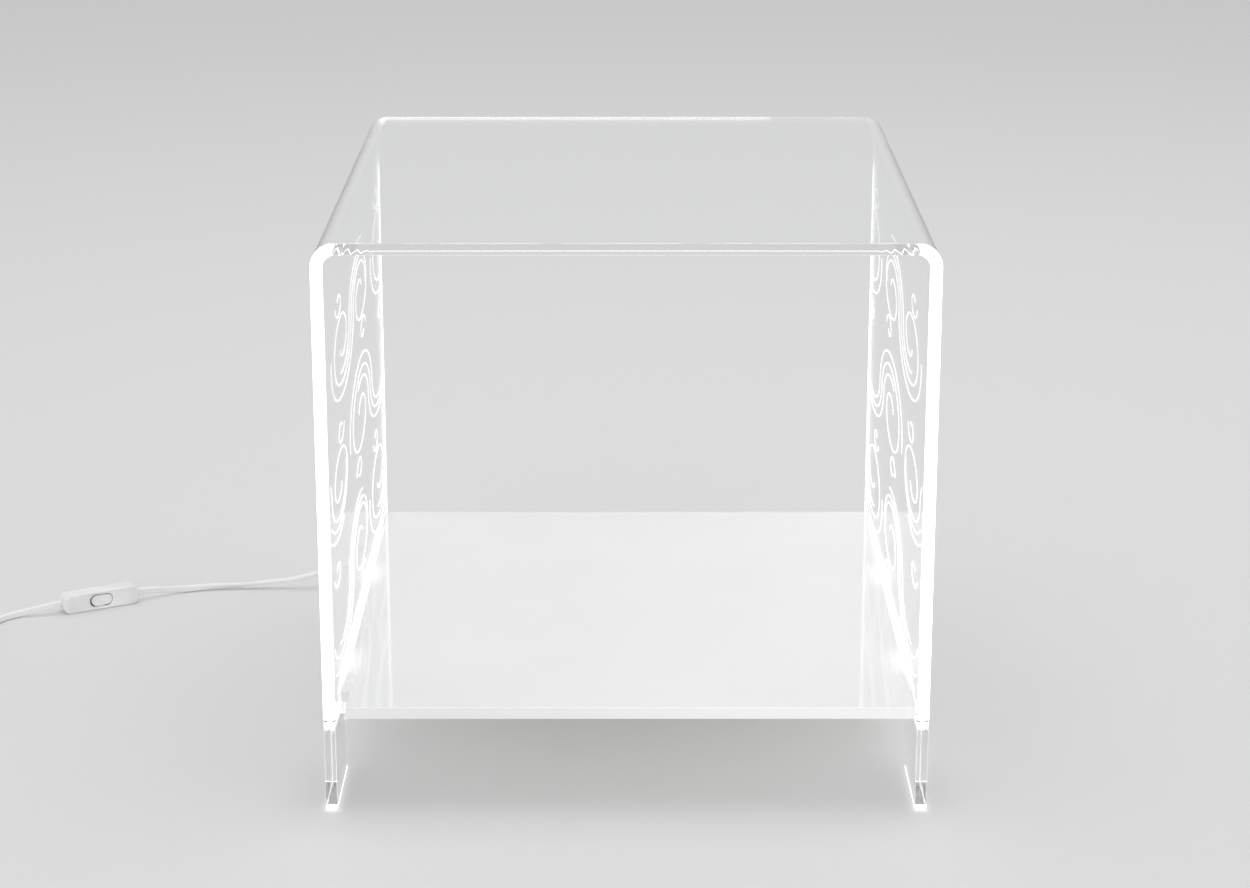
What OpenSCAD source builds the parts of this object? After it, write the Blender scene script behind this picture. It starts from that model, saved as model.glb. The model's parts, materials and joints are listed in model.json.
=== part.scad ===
// Edge-lit acrylic display cube: a bent clear hood over an opal shelf, on two arched leg plates,
// with light tape under the hood's side edges and a flat cord with a rocker switch.
// Millimetres. X is the width, the open front faces -Y, and Z = 0 is the surface it stands on.

/* [Overall] */
// Width across the outside of the hood
overall_w = 400; // [300:10:600]
// Depth from the open front to the open rear
overall_d = 450; // [360:10:600]
// Height from the table to the top of the hood
overall_h = 385; // [240:5:600]

/* [Hood and legs] */
// Thickness of the clear sheet in the hood and the leg plates
sheet_t = 8; // [5:0.5:12]
// Inside radius of the two heat bends
bend_r = 8; // [4:1:30]
// Height of the leg plates
leg_h = 58; // [50:1:90]
// Length of each foot along the leg plate
foot_d = 72; // [30:1:120]
// Height of the arch between the feet
arch_h = 44; // [20:1:44]
// Radius in the arch's upper corners
arch_r = 12; // [3:1:18]

/* [Shelf] */
// Thickness of the opal shelf
shelf_t = 8; // [5:0.5:12]
// How far the underside of the shelf is above the leg plates
shelf_rise = 6; // [5.5:0.5:10]
// Open gap between each end of the shelf and the hood
end_gap = 1; // [0.5:0.5:3]
// How far the shelf stops short of the hood's rear edge
rear_set_in = 25; // [10:1:40]
// Width of the relief in the shelf's front left corner
relief_w = 5.5; // [1:0.5:12]
// Length of that relief
relief_d = 30; // [10:1:60]

/* [Fixing rails] */
// Width of the clear rails that carry the shelf
rail_w = 10; // [6:1:20]
// Height of the rails
rail_h = 12; // [8:1:18]
// How far the rails stop short of the front and the rear
rail_set_in = 40; // [30:1:80]

/* [Light tape] */
// Thickness of the white foam bed under the tape
bed_t = 3; // [1:0.5:4]
// Thickness of the flexible tape
tape_t = 0.4; // [0.2:0.1:1]
// How far the tape stops short of each end of the leg plate
tape_end = 2; // [1:1:10]
// Distance from one light chip to the next
chip_pitch = 16.5; // [8:0.5:30]
// Free length of tape before the first chip, at the least
chip_margin = 40; // [10:1:80]
// Length of a chip along the tape
chip_l = 3.5; // [2:0.5:5]
// Width of a chip across the tape
chip_w = 2.8; // [2:0.2:5]
// Height of a chip
chip_h = 1.2; // [0.8:0.1:1.5]

/* [Driver] */
// Length of the driver case
case_l = 96; // [80:1:140]
// Width of the driver case
case_w = 40; // [34:1:60]
// Height of the driver case
case_h = 19; // [16:1:24]
// Wall of the case and thickness of its cover
case_t = 1.6; // [1.2:0.1:3]
// Thickness of the adhesive pad that holds the case to the shelf
pad_t = 1; // [0.5:0.5:2]
// Distance of the case's centre left of the middle of the cube
driver_left = 92; // [70:1:120]
// Distance of the case's centre behind the middle of the cube
driver_back = 160; // [60:1:160]
// Diameter of the case screws' heads
case_screw_d = 4; // [3:0.5:5]
// Diameter of the lead between the driver and each tape
lead_d = 1.4; // [1:0.1:1.5]

/* [Cord] */
// Width of the flat twin cord
cord_w = 5.4; // [5:0.1:6]
// Thickness of the flat twin cord
cord_t = 3.2; // [2.8:0.1:3.6]
// Length of the tapered grip where the cord leaves the driver
grip_l = 24; // [20:1:40]

/* [Cord switch] */
// Length of the switch
switch_l = 62; // [56:1:75]
// Width of the switch across its rocker face; it stands on this side
switch_w = 15; // [15:0.5:22]
// Thickness of the switch from its back to its rocker face
switch_h = 14; // [13:0.5:18]
// Height of the split between base and cover
switch_split = 6.5; // [6:0.5:7]
// Wall of the switch's two shells
switch_t = 1.6; // [1.4:0.1:1.7]
// Length of the rocker
rocker_l = 17.2; // [14:0.2:20]
// Width of the rocker
rocker_w = 8.4; // [7:0.1:8.6]
// Gap round the rocker
rocker_gap = 0.8; // [0.7:0.1:1]
// Diameter of the rocker's pin
rocker_pin_d = 2; // [1.5:0.1:2.5]
// Tilt of the rocker from level, each way
rocker_tilt = 7; // [4:1:8]

/* [Plug] */
// Length of the plug's body without its sleeve
plug_l = 36; // [34:1:45]
// Width of the plug across its face
plug_w = 35; // [33:1:36]
// Thickness of the plug
plug_h = 13.7; // [12:0.1:15]
// Distance between the pins
pin_pitch = 18.6; // [17.5:0.1:19.2]
// Diameter of a pin
pin_d = 4; // [3.9:0.1:4.2]
// Free length of a pin
pin_l = 19; // [18:0.5:20]

/* [Hidden] */

$fn = 48;
eps = 0.01;

// Heights, from the table upwards
chip_clear = 0.4;
tape_z = leg_h + bed_t;
chip_z = tape_z + tape_t;
hood_z = chip_z + chip_h + chip_clear;
shelf_z = leg_h + shelf_rise;
shelf_top = shelf_z + shelf_t;
rail_z = shelf_z - rail_h;

// Widths and depths
half_w = overall_w / 2;
half_d = overall_d / 2;
inner_half_w = half_w - sheet_t;
shelf_half_w = inner_half_w - end_gap;
shelf_rear = half_d - rear_set_in;
edge_x = half_w - sheet_t / 2;
chip_count = floor((overall_d - 2 * chip_margin) / chip_pitch) + 1;

// Driver
case_z = shelf_z - pad_t - case_h;
case_x = -driver_left;
case_y = driver_back;
board_t = 1.6;
board_gap = 2;
board_rise = 1;
board_z = case_z + case_t + board_rise;
part_z = board_z + board_t;
block_l = 14;
block_w = 10;
block_h = 8.5;
block_gap = 4.4;
out_block_l = 8;
cord_z = 52;
cord_x = -122;
case_rear = case_y + case_w / 2;
case_right = case_x + case_l / 2;
case_front = case_y - case_w / 2;
lead_start = case_right - 10;
neck_r = 4;
lead_z = shelf_z - 0.4 - lead_d / 2;

// Cord route from the driver to the switch
SUPPLY_ROUTE = [
    [-122, 174, 52], [-122, 189, 52], [-122, 204, 52], [-125, 217, 51], [-134, 228, 49],
    [-147, 234, 46], [-162, 235, 42], [-177, 234, 37], [-192, 233, 32], [-206, 231, 27],
    [-220, 229, 22],
    [-236, 226, 17], [-252, 223, 12], [-270, 222, 8], [-290, 222, 5.5], [-312, 221, 3.5],
    [-334, 218, 3.2], [-352, 213, 3], [-366, 207, 4.5], [-378, 200, 6.5], [-389, 194, 7.5],
    [-399, 188.5, 7.5]
];
// Cord route from the switch to the coil, and from the coil to the plug
PLUG_ROUTE = [
    [-439, 167.5, 7.5], [-450, 161.5, 7.5], [-460, 158, 6], [-471, 155, 4], [-481, 150, 3],
    [-488, 142, 3.1], [-492, 133, 3.2], [-495, 121, 3.2], [-497, 108, 3.1], [-497, 94, 2.9],
    [-497, 80, 2.5], [-497, 66, 2.1], [-497, 50, 2.3]
];
TAIL_ROUTE = [
    [-497, 50, 12.5], [-497, 38, 12], [-498, 26, 10], [-500, 14, 8], [-501, 2, 7],
    [-501, -12, 7]
];

// Coil
coil_x = -528;
coil_y = 50;
coil_z = 0.8;
coil_mean_r = 28;
coil_columns = 2;
coil_layers = 4;
turn_w = 5.6;
turn_h = 3.4;
coil_in_r = coil_mean_r - coil_columns * turn_w / 2;
coil_out_r = coil_mean_r + coil_columns * turn_w / 2;
coil_h = coil_layers * turn_h;
tie_w = 9;
tie_t = 0.8;

// Switch, in its own frame: x along the cord, y across its rocker face, z out of that face.
// It stands on one side, with its rocker face to the front, and so does the cord close to it.
switch_x = -419;
switch_y = 178;
switch_turn = 28;
edge_near = 75;
level_from = 140;
corner_r = 6;
pin_z = 9;
cord_hole_w = cord_w + 0.2;
cord_hole_t = cord_t + 0.2;
contact_t = 0.4;
rocker_foot_z = 6.2;
post_x = 21.3;
post_r = 1.9;
post_y = switch_w / 2 - switch_t - post_r - 0.1;
lug_t = 1.3;
lug_y = rocker_w / 2 + 0.4;
terminal_x = 15.5;
clamp_x = 25.4;
clamp_w = switch_w - 2 * switch_t - 2.4;
clamp_gap = 0.3;

// Plug
plug_x = -501;
plug_y = -24;
sleeve_l = 22;
plug_face_y = plug_y - plug_l;

// ---------- helpers ----------

// A flat plate with true round corners, centred in x and y
module round_plate(l, w, h, r) {
    linear_extrude(height = h) {
        square([l - 2 * r, w], center = true);
        square([l, w - 2 * r], center = true);
        for (x = [-1, 1], y = [-1, 1])
            translate([x * (l / 2 - r), y * (w / 2 - r)]) circle(r = r);
    }
}

// Outline of a bent sheet: flat below, round at the two upper corners
module arch_outline(w, h, r) {
    translate([-w / 2, 0]) square([w, h - r]);
    translate([-w / 2 + r, 0]) square([w - 2 * r, h]);
    for (x = [-1, 1]) translate([x * (w / 2 - r), h - r]) circle(r = r);
}

function unit(v) = v / norm(v);
function heading(p, i) = unit(p[min(i + 1, len(p) - 1)] - p[max(i - 1, 0)]);
function sideways(p, i) = unit(cross([0, 0, 1], heading(p, i)));

// Eight-sided section of a cord, w wide and t thick
function section(w, t) = [
    [w / 2, t / 4], [w / 4, t / 2], [-w / 4, t / 2], [-w / 2, t / 4],
    [-w / 2, -t / 4], [-w / 4, -t / 2], [w / 4, -t / 2], [w / 2, -t / 4]
];
// How far the cord is rolled on to its edge: all the way at the switch, level further off
function roll(point) =
    90 * min(1, max(0, (level_from - norm(point - [switch_x, switch_y, 0])) / (level_from - edge_near)));
function ring(p, i, outline) =
    let (side = sideways(p, i), over = cross(heading(p, i), side), a = roll(p[i]))
    [for (q = outline) p[i] + (q[0] * cos(a) - q[1] * sin(a)) * side + (q[0] * sin(a) + q[1] * cos(a)) * over];

// One closed tube along the points p, its wide side level but for the stretch close to the switch
module swept(p, w, t) {
    outline = section(w, t);
    n = len(outline);
    last = len(p) - 1;
    points = [for (i = [0:last]) each ring(p, i, outline)];
    walls = [for (i = [0:last - 1], k = [0:n - 1])
        [i * n + k, (i + 1) * n + k, (i + 1) * n + (k + 1) % n, i * n + (k + 1) % n]];
    start = [[for (k = [0:n - 1]) k]];
    end = [[for (k = [n - 1:-1:0]) last * n + k]];
    polyhedron(points = points, faces = concat(walls, start, end), convexity = 6);
}

// ---------- hood, shelf and legs ----------

module hood() {
    color([0.86, 0.93, 0.96, 0.35])
    difference() {
        rotate([90, 0, 0]) linear_extrude(height = overall_d, center = true)
            arch_outline(overall_w, overall_h, bend_r + sheet_t);
        rotate([90, 0, 0]) linear_extrude(height = overall_d + 2, center = true)
            arch_outline(overall_w - 2 * sheet_t, overall_h - sheet_t, bend_r);
        translate([0, 0, hood_z / 2 - 1])
            cube([overall_w + 2, overall_d + 2, hood_z + 2], center = true);
    }
}

module shelf() {
    color([0.94, 0.94, 0.95])
    difference() {
        translate([-shelf_half_w, -half_d, shelf_z])
            cube([2 * shelf_half_w, half_d + shelf_rear, shelf_t]);
        translate([-shelf_half_w - 1, -half_d - 1, shelf_z - 1])
            cube([relief_w + 1, relief_d + 1, shelf_t + 2]);
    }
}

// Side outline of a leg plate: y across the page, z up it
module leg_outline() {
    difference() {
        translate([-half_d, 0]) square([overall_d, leg_h]);
        translate([0, -arch_r - 1]) arch_outline(overall_d - 2 * foot_d, arch_h + arch_r + 1, arch_r);
    }
}

module leg_plate(side) {
    color([0.86, 0.93, 0.96, 0.35])
    translate([side * edge_x, 0, 0]) rotate([90, 0, 90])
        linear_extrude(height = sheet_t, center = true) leg_outline();
}

module left_leg_plate() { leg_plate(-1); }
module right_leg_plate() { leg_plate(1); }

module fixing_rail(side) {
    color([0.86, 0.93, 0.96, 0.35])
    translate([side * (inner_half_w - rail_w / 2), 0, rail_z + rail_h / 2])
        cube([rail_w, overall_d - 2 * rail_set_in, rail_h], center = true);
}

module left_fixing_rail() { fixing_rail(-1); }
module right_fixing_rail() { fixing_rail(1); }

// ---------- light tape ----------

module tape_bed(side) {
    color([0.96, 0.95, 0.92])
    translate([side * edge_x, 0, leg_h + bed_t / 2])
        cube([sheet_t, overall_d - tape_end, bed_t], center = true);
}

module left_tape_bed() { tape_bed(-1); }
module right_tape_bed() { tape_bed(1); }

module light_tape(side) {
    color([0.93, 0.93, 0.9])
    translate([side * edge_x, 0, tape_z + tape_t / 2])
        cube([sheet_t, overall_d - 2 * tape_end, tape_t], center = true);
}

module left_light_tape() { light_tape(-1); }
module right_light_tape() { light_tape(1); }

module light_chips(side) {
    color([1, 0.95, 0.7])
    for (i = [0:chip_count - 1])
        translate([side * edge_x, (i - (chip_count - 1) / 2) * chip_pitch, chip_z + chip_h / 2])
            cube([chip_w, chip_l, chip_h], center = true);
}

module left_light_chips() { light_chips(-1); }
module right_light_chips() { light_chips(1); }

// ---------- driver under the shelf ----------

module driver_pad() {
    color([0.2, 0.2, 0.22])
    translate([case_x, case_y, shelf_z - pad_t / 2])
        cube([case_l - 8, case_w - 8, pad_t], center = true);
}

module case_posts(r, z, h) {
    for (x = [-1, 1], y = [-1, 1])
        translate([case_x + x * (case_l / 2 - 5), case_y + y * (case_w / 2 - 5), z])
            cylinder(r = r, h = h);
}

module driver_case() {
    color([0.95, 0.95, 0.94])
    difference() {
        union() {
            difference() {
                translate([case_x, case_y, case_z + case_t]) round_plate(case_l, case_w, case_h - case_t, 3);
                translate([case_x, case_y, case_z])
                    round_plate(case_l - 2 * case_t, case_w - 2 * case_t, case_h - case_t, 1.4);
            }
            case_posts(3, case_z + case_t, case_h - 2 * case_t + eps);
        }
        case_posts(1, case_z, 12);
        translate([cord_x, case_rear - case_t - 1, cord_z]) rotate([-90, 0, 0])
            cylinder(r = neck_r, h = case_t + 2);
        for (y = [-1, 1])
            translate([case_right - case_t - 1, case_y + y * 6, cord_z]) rotate([0, 90, 0])
                cylinder(r = lead_d / 2 + 0.1, h = case_t + 2);
    }
}

module driver_cover() {
    color([0.95, 0.95, 0.94]) {
        difference() {
            translate([case_x, case_y, case_z]) round_plate(case_l, case_w, case_t, 3);
            case_posts(1.2, case_z - 1, case_t + 2);
        }
        for (y = [-1, 1]) translate([case_x, case_y + y * case_w / 4, case_z + case_t + board_rise / 2 - eps])
            cube([case_l - 30, 2, board_rise + 2 * eps], center = true);
    }
}

module driver_screws() {
    color([0.7, 0.7, 0.72]) {
        case_posts(1, case_z - eps, 9);
        for (x = [-1, 1], y = [-1, 1])
            translate([case_x + x * (case_l / 2 - 5), case_y + y * (case_w / 2 - 5), case_z - 1.2])
                difference() {
                    cylinder(d = case_screw_d, h = 1.2);
                    translate([0, 0, 0.2]) for (a = [0, 90]) rotate(a)
                        cube([case_screw_d * 0.6, 0.6, 0.8], center = true);
                }
    }
}

module driver_board() {
    color([0.2, 0.5, 0.3])
    translate([case_x, case_y, board_z + board_t / 2])
        cube([case_l - 18, case_w - 2 * case_t - 2 * board_gap, board_t], center = true);
}

module driver_transformer() {
    color([0.85, 0.8, 0.35])
    translate([case_x, case_y - 2, part_z]) {
        translate([0, 0, 6]) cube([20, 16, 12], center = true);
        translate([0, 0, 6]) cube([12, 22, 8], center = true);
    }
}

module driver_capacitors() {
    color([0.2, 0.25, 0.4])
    for (x = [-22, 20]) translate([case_x + x, case_y - 6, part_z]) cylinder(d = 8, h = 11);
}

module driver_terminals() {
    color([0.35, 0.6, 0.4]) {
        translate([cord_x, case_rear - case_t - block_gap - block_w / 2, part_z + block_h / 2])
            cube([block_l, block_w, block_h], center = true);
        translate([lead_start - out_block_l / 2, case_y, part_z + block_h / 2])
            cube([out_block_l, 18, block_h], center = true);
    }
}

// ---------- leads from the driver to the tapes ----------

function lead_points(side) = let (
    y0 = case_y + side * 6,
    x0 = case_right,
    far_y = shelf_rear - 6,
    end_y = half_d - 14
) side > 0 ? [
    [lead_start, y0, cord_z], [x0 + 6, y0, cord_z], [x0 + 16, y0 + 2, (cord_z + lead_z) / 2 + 2],
    [x0 + 27, y0 + 6, lead_z], [x0 + 44, far_y - 6, lead_z], [x0 + 60, far_y, lead_z],
    [inner_half_w - 30, far_y, lead_z], [inner_half_w - 12, far_y + 3, lead_z],
    [inner_half_w - 4, end_y - 6, lead_z - 1], [inner_half_w - 1, end_y, chip_z + lead_d / 2],
    [inner_half_w + 3, end_y + 2, chip_z + lead_d / 2]
] : [
    [lead_start, y0, cord_z], [x0 + 5, y0, cord_z], [x0 + 12, y0 - 4, cord_z + 4], [x0 + 14, y0 - 12, lead_z],
    [x0 + 8, case_front - 7, lead_z], [x0 - 6, case_front - 10, lead_z],
    [case_x - case_l / 2, case_front - 10, lead_z], [-inner_half_w + 24, case_front - 6, lead_z],
    [-inner_half_w + 16, case_y - 2, lead_z], [-inner_half_w + 15, shelf_rear - 12, lead_z],
    [-inner_half_w + 10, far_y + 5, lead_z], [-inner_half_w + 4, end_y - 5, lead_z - 1],
    [-inner_half_w + 1, end_y, chip_z + lead_d / 2], [-inner_half_w - 3, end_y + 2, chip_z + lead_d / 2]
];

module left_tape_lead() {
    color([0.9, 0.9, 0.9]) swept(lead_points(-1), lead_d, lead_d);
}

module right_tape_lead() {
    color([0.9, 0.9, 0.9]) swept(lead_points(1), lead_d, lead_d);
}

// A saddle bonded under the shelf, with the lead through it along x
module lead_clip(x, y) {
    difference() {
        translate([x, y, shelf_z - 2]) cube([6, 9, 4], center = true);
        translate([x, y, lead_z]) rotate([0, 90, 0]) cylinder(r = lead_d / 2 + 0.1, h = 8, center = true);
    }
}

module lead_clips() {
    color([0.97, 0.97, 0.97]) {
        for (x = [30, 90, 150]) lead_clip(x, shelf_rear - 6);
        for (x = [-120, -70]) lead_clip(x, case_front - 10);
    }
}

// ---------- cord grip and cord ----------

module cord_grip() {
    color([0.95, 0.95, 0.94])
    translate([cord_x, case_rear, cord_z]) rotate([-90, 0, 0])
    difference() {
        rotate_extrude() polygon([
            [0, -case_t - 1.6], [neck_r + 1.2, -case_t - 1.6], [neck_r + 1.2, -case_t],
            [neck_r, -case_t], [neck_r, 0], [neck_r + 2, 0], [neck_r + 2, 2],
            [neck_r + 1, 3], [3.6, grip_l], [0, grip_l]
        ]);
        translate([0, 0, grip_l / 2]) cube([cord_w, cord_t, 2 * grip_l], center = true);
    }
}

module supply_cord() {
    color([0.95, 0.95, 0.95]) swept(SUPPLY_ROUTE, cord_w, cord_t);
}

module plug_cord() {
    color([0.95, 0.95, 0.95]) {
        swept(PLUG_ROUTE, cord_w, cord_t);
        swept(TAIL_ROUTE, cord_w, cord_t);
    }
}

module cord_coil() {
    color([0.95, 0.95, 0.95])
    translate([coil_x, coil_y, coil_z]) rotate_extrude($fn = 96)
        translate([coil_in_r, 0]) square([coil_out_r - coil_in_r, coil_h]);
}

module coil_tie() {
    color([0.2, 0.2, 0.2])
    translate([coil_x - coil_mean_r, coil_y, coil_z + coil_h / 2]) difference() {
        cube([coil_out_r - coil_in_r + 2 * tie_t, tie_w, coil_h + 2 * tie_t], center = true);
        cube([coil_out_r - coil_in_r, tie_w + 2, coil_h], center = true);
    }
}

// ---------- cord switch ----------

module at_switch() {
    translate([switch_x, switch_y, switch_w / 2]) rotate([90, 0, switch_turn])
        translate([0, 0, -switch_split]) children();
}

module cord_holes() {
    for (x = [-1, 1]) translate([x * switch_l / 2, 0, switch_split])
        cube([3 * switch_t + 8, cord_hole_w, cord_hole_t], center = true);
}

module switch_posts(r, z, h) {
    for (s = [-1, 1]) translate([s * post_x, s * post_y, z]) cylinder(r = r, h = h, $fn = 32);
}

module switch_base() {
    color([0.95, 0.95, 0.94]) at_switch()
    difference() {
        union() {
            difference() {
                round_plate(switch_l, switch_w, switch_split, corner_r);
                translate([0, 0, switch_t])
                    round_plate(switch_l - 2 * switch_t, switch_w - 2 * switch_t, switch_split, corner_r - switch_t);
            }
            switch_posts(post_r, switch_t - eps, switch_split - switch_t);
        }
        cord_holes();
        switch_posts(1.25, -1, switch_split + 2);
        switch_posts(2.1, -1, 2.2);
    }
}

module rocker_plan(grow, z, h) {
    translate([0, 0, z]) round_plate(rocker_l + 2 * grow, rocker_w + 2 * grow, h, rocker_w / 2 + grow - eps);
}

module switch_cover() {
    color([0.95, 0.95, 0.94]) at_switch()
    difference() {
        union() {
            difference() {
                translate([0, 0, switch_split]) round_plate(switch_l, switch_w, switch_h - switch_split, corner_r);
                translate([0, 0, switch_split - 1])
                    round_plate(switch_l - 2 * switch_t, switch_w - 2 * switch_t,
                        switch_h - switch_split + 1 - switch_t, corner_r - switch_t);
            }
            switch_posts(post_r, switch_split, switch_h - switch_split - switch_t + eps);
            for (y = [-1, 1]) translate([0, y * (lug_y + lug_t / 2), (switch_h - switch_t + pin_z - 2) / 2 + eps])
                cube([5, lug_t, switch_h - switch_t - pin_z + 2], center = true);
        }
        rocker_plan(rocker_gap, switch_split - 1, switch_h);
        rocker_plan(2.4, switch_h - 0.8, 2);
        cord_holes();
        switch_posts(0.95, switch_split - 1, 6);
        translate([0, 0, pin_z]) rotate([90, 0, 0])
            cylinder(d = rocker_pin_d, h = 2 * (lug_y + lug_t) + 2, center = true, $fn = 32);
    }
}

// Side view of the rocker when level: two flats that meet in a shallow valley over the pin
module rocker_side() {
    valley = switch_h - 0.8;
    rise = rocker_l / 2 * tan(rocker_tilt);
    polygon([
        [-rocker_l / 2 + 1, rocker_foot_z], [rocker_l / 2 - 1, rocker_foot_z],
        [rocker_l / 2, rocker_foot_z + 2], [rocker_l / 2, valley + rise],
        [0, valley], [-rocker_l / 2, valley + rise], [-rocker_l / 2, rocker_foot_z + 2]
    ]);
}

// Turns a level piece about the pin to where the lit lamp has it: the end away from the cube is up
module tilted() {
    translate([0, 0, pin_z]) rotate([0, rocker_tilt, 0]) translate([0, 0, -pin_z]) children();
}

module switch_rocker() {
    color([0.96, 0.96, 0.95]) at_switch() tilted()
    difference() {
        intersection() {
            rotate([90, 0, 0]) linear_extrude(height = rocker_w, center = true) rocker_side();
            rocker_plan(0, 0, switch_h + 4);
        }
        translate([0, 0, pin_z]) rotate([90, 0, 0])
            cylinder(d = rocker_pin_d + 0.12, h = rocker_w + 2, center = true, $fn = 32);
    }
}

module rocker_contact() {
    color([0.85, 0.65, 0.3]) at_switch() tilted()
    translate([0, 0, rocker_foot_z - contact_t / 2 - eps])
        cube([rocker_l - 2.4, 4, contact_t], center = true);
}

module rocker_pin() {
    color([0.75, 0.75, 0.78]) at_switch()
    translate([0, 0, pin_z]) rotate([90, 0, 0])
        cylinder(d = rocker_pin_d, h = 2 * (lug_y + lug_t), center = true, $fn = 32);
}

module switch_contacts() {
    color([0.85, 0.65, 0.3]) at_switch()
    for (s = [-1, 1]) {
        translate([s * (terminal_x - 7.5), 0, 3.6]) cube([8, 4, 0.8], center = true);
        translate([s * 6.4, 0, 4 - eps]) cylinder(r = 1, h = 0.5, $fn = 24);
    }
}

module switch_terminals() {
    color([0.85, 0.65, 0.3]) at_switch()
    for (s = [-1, 1]) difference() {
        translate([s * terminal_x, 0, switch_t + 3]) cube([7, 5, 6], center = true);
        translate([s * terminal_x, 0, switch_t + 3]) cylinder(r = 1.25, h = 6, $fn = 24);
        translate([s * (terminal_x + 2), 0, switch_t + 2.4]) rotate([0, 90, 0])
            cylinder(r = 1, h = 6, center = true, $fn = 24);
    }
}

module terminal_screws() {
    color([0.75, 0.75, 0.78]) at_switch()
    for (s = [-1, 1]) translate([s * terminal_x, 0, switch_t + 4]) {
        cylinder(r = 1.2, h = 2.4, $fn = 24);
        translate([0, 0, 2]) difference() {
            cylinder(r = 2, h = 1.4, $fn = 24);
            translate([0, 0, 1.2]) cube([5, 0.6, 1], center = true);
        }
    }
}

module switch_screws() {
    color([0.75, 0.75, 0.78]) at_switch() {
        switch_posts(0.94, 0.6, 10.5);
        for (s = [-1, 1]) translate([s * post_x, s * post_y, 0.2]) difference() {
            cylinder(r = 2, h = 1, $fn = 32);
            cube([2.6, 0.5, 1], center = true);
        }
    }
}

// The core that runs straight through the switch
module through_core() {
    color([0.2, 0.35, 0.7]) at_switch()
    translate([0, 3.8, 2.8]) rotate([0, 90, 0]) cylinder(r = 0.9, h = 36, center = true, $fn = 24);
}

module cord_clamps() {
    color([0.92, 0.92, 0.9]) at_switch()
    for (s = [-1, 1]) translate([s * clamp_x, 0, switch_split + cord_t / 2 + 1 + clamp_gap])
        cube([4, clamp_w, 2 - eps], center = true);
}

// ---------- plug ----------

// Outline of the plug from above: wide at the pins' face, narrow at the cord
module plug_outline() {
    nose = 10;
    polygon([
        [-7, 0], [7, 0], [plug_w / 2, -plug_l + nose], [plug_w / 2 - 1, -plug_l],
        [-plug_w / 2 + 1, -plug_l], [-plug_w / 2, -plug_l + nose]
    ]);
}

module plug_body() {
    color([0.95, 0.95, 0.94])
    translate([plug_x, plug_y, 0]) difference() {
        union() {
            linear_extrude(height = plug_h) plug_outline();
            translate([0, 0, plug_h / 2]) rotate([-90, 0, 0])
                cylinder(r1 = 6, r2 = 3.9, h = sleeve_l, $fn = 32);
        }
        translate([0, sleeve_l, 7]) cube([cord_w, 20, cord_t], center = true);
        for (s = [-1, 1]) translate([s * pin_pitch / 2, -plug_l - 1, plug_h / 2]) rotate([-90, 0, 0])
            cylinder(d = pin_d, h = 15, $fn = 32);
    }
}

module plug_pins() {
    color([0.85, 0.85, 0.86])
    for (s = [-1, 1]) translate([plug_x + s * pin_pitch / 2, plug_face_y - pin_l, plug_h / 2]) {
        translate([0, 1.2, 0]) rotate([-90, 0, 0]) cylinder(d = pin_d, h = pin_l / 2 - 1.2, $fn = 32);
        rotate([-90, 0, 0]) cylinder(d1 = pin_d - 1.6, d2 = pin_d, h = 1.2, $fn = 32);
        rotate([-90, 0, 0]) cylinder(d = pin_d - 0.8, h = pin_l + 12, $fn = 32);
    }
}

module pin_sleeves() {
    color([0.95, 0.95, 0.94])
    for (s = [-1, 1]) translate([plug_x + s * pin_pitch / 2, plug_face_y - pin_l / 2, plug_h / 2])
        rotate([-90, 0, 0]) difference() {
            cylinder(d = pin_d, h = pin_l / 2 + 12, $fn = 32);
            translate([0, 0, -1]) cylinder(d = pin_d - 0.8, h = pin_l + 14, $fn = 32);
        }
}

// ---------- what is drawn ----------

hood();
shelf();
left_leg_plate();
right_leg_plate();
left_fixing_rail();
right_fixing_rail();
left_tape_bed();
right_tape_bed();
left_light_tape();
right_light_tape();
left_light_chips();
right_light_chips();
driver_pad();
driver_case();
driver_cover();
driver_screws();
driver_board();
driver_transformer();
driver_capacitors();
driver_terminals();
left_tape_lead();
right_tape_lead();
lead_clips();
cord_grip();
supply_cord();
switch_base();
switch_cover();
switch_rocker();
rocker_contact();
rocker_pin();
switch_contacts();
switch_terminals();
terminal_screws();
switch_screws();
through_core();
cord_clamps();
plug_cord();
cord_coil();
coil_tie();
plug_body();
plug_pins();
pin_sleeves();
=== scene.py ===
# %% [markdown]
# # An edge-lit acrylic display cube
# The object is a clear hood bent from one sheet, a white shelf, two clear leg plates with light tape
# on top of them, and a flat cord with a rocker switch. The big pieces take their sizes and places from
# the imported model's boxes, and the small ones repeat the model's numbers. What is made here is the
# finish: polished arrises, smooth bends, glowing curls, soft cord and real materials.

import json
import math

import bmesh
import bpy
from mathutils import Matrix, Vector

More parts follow.
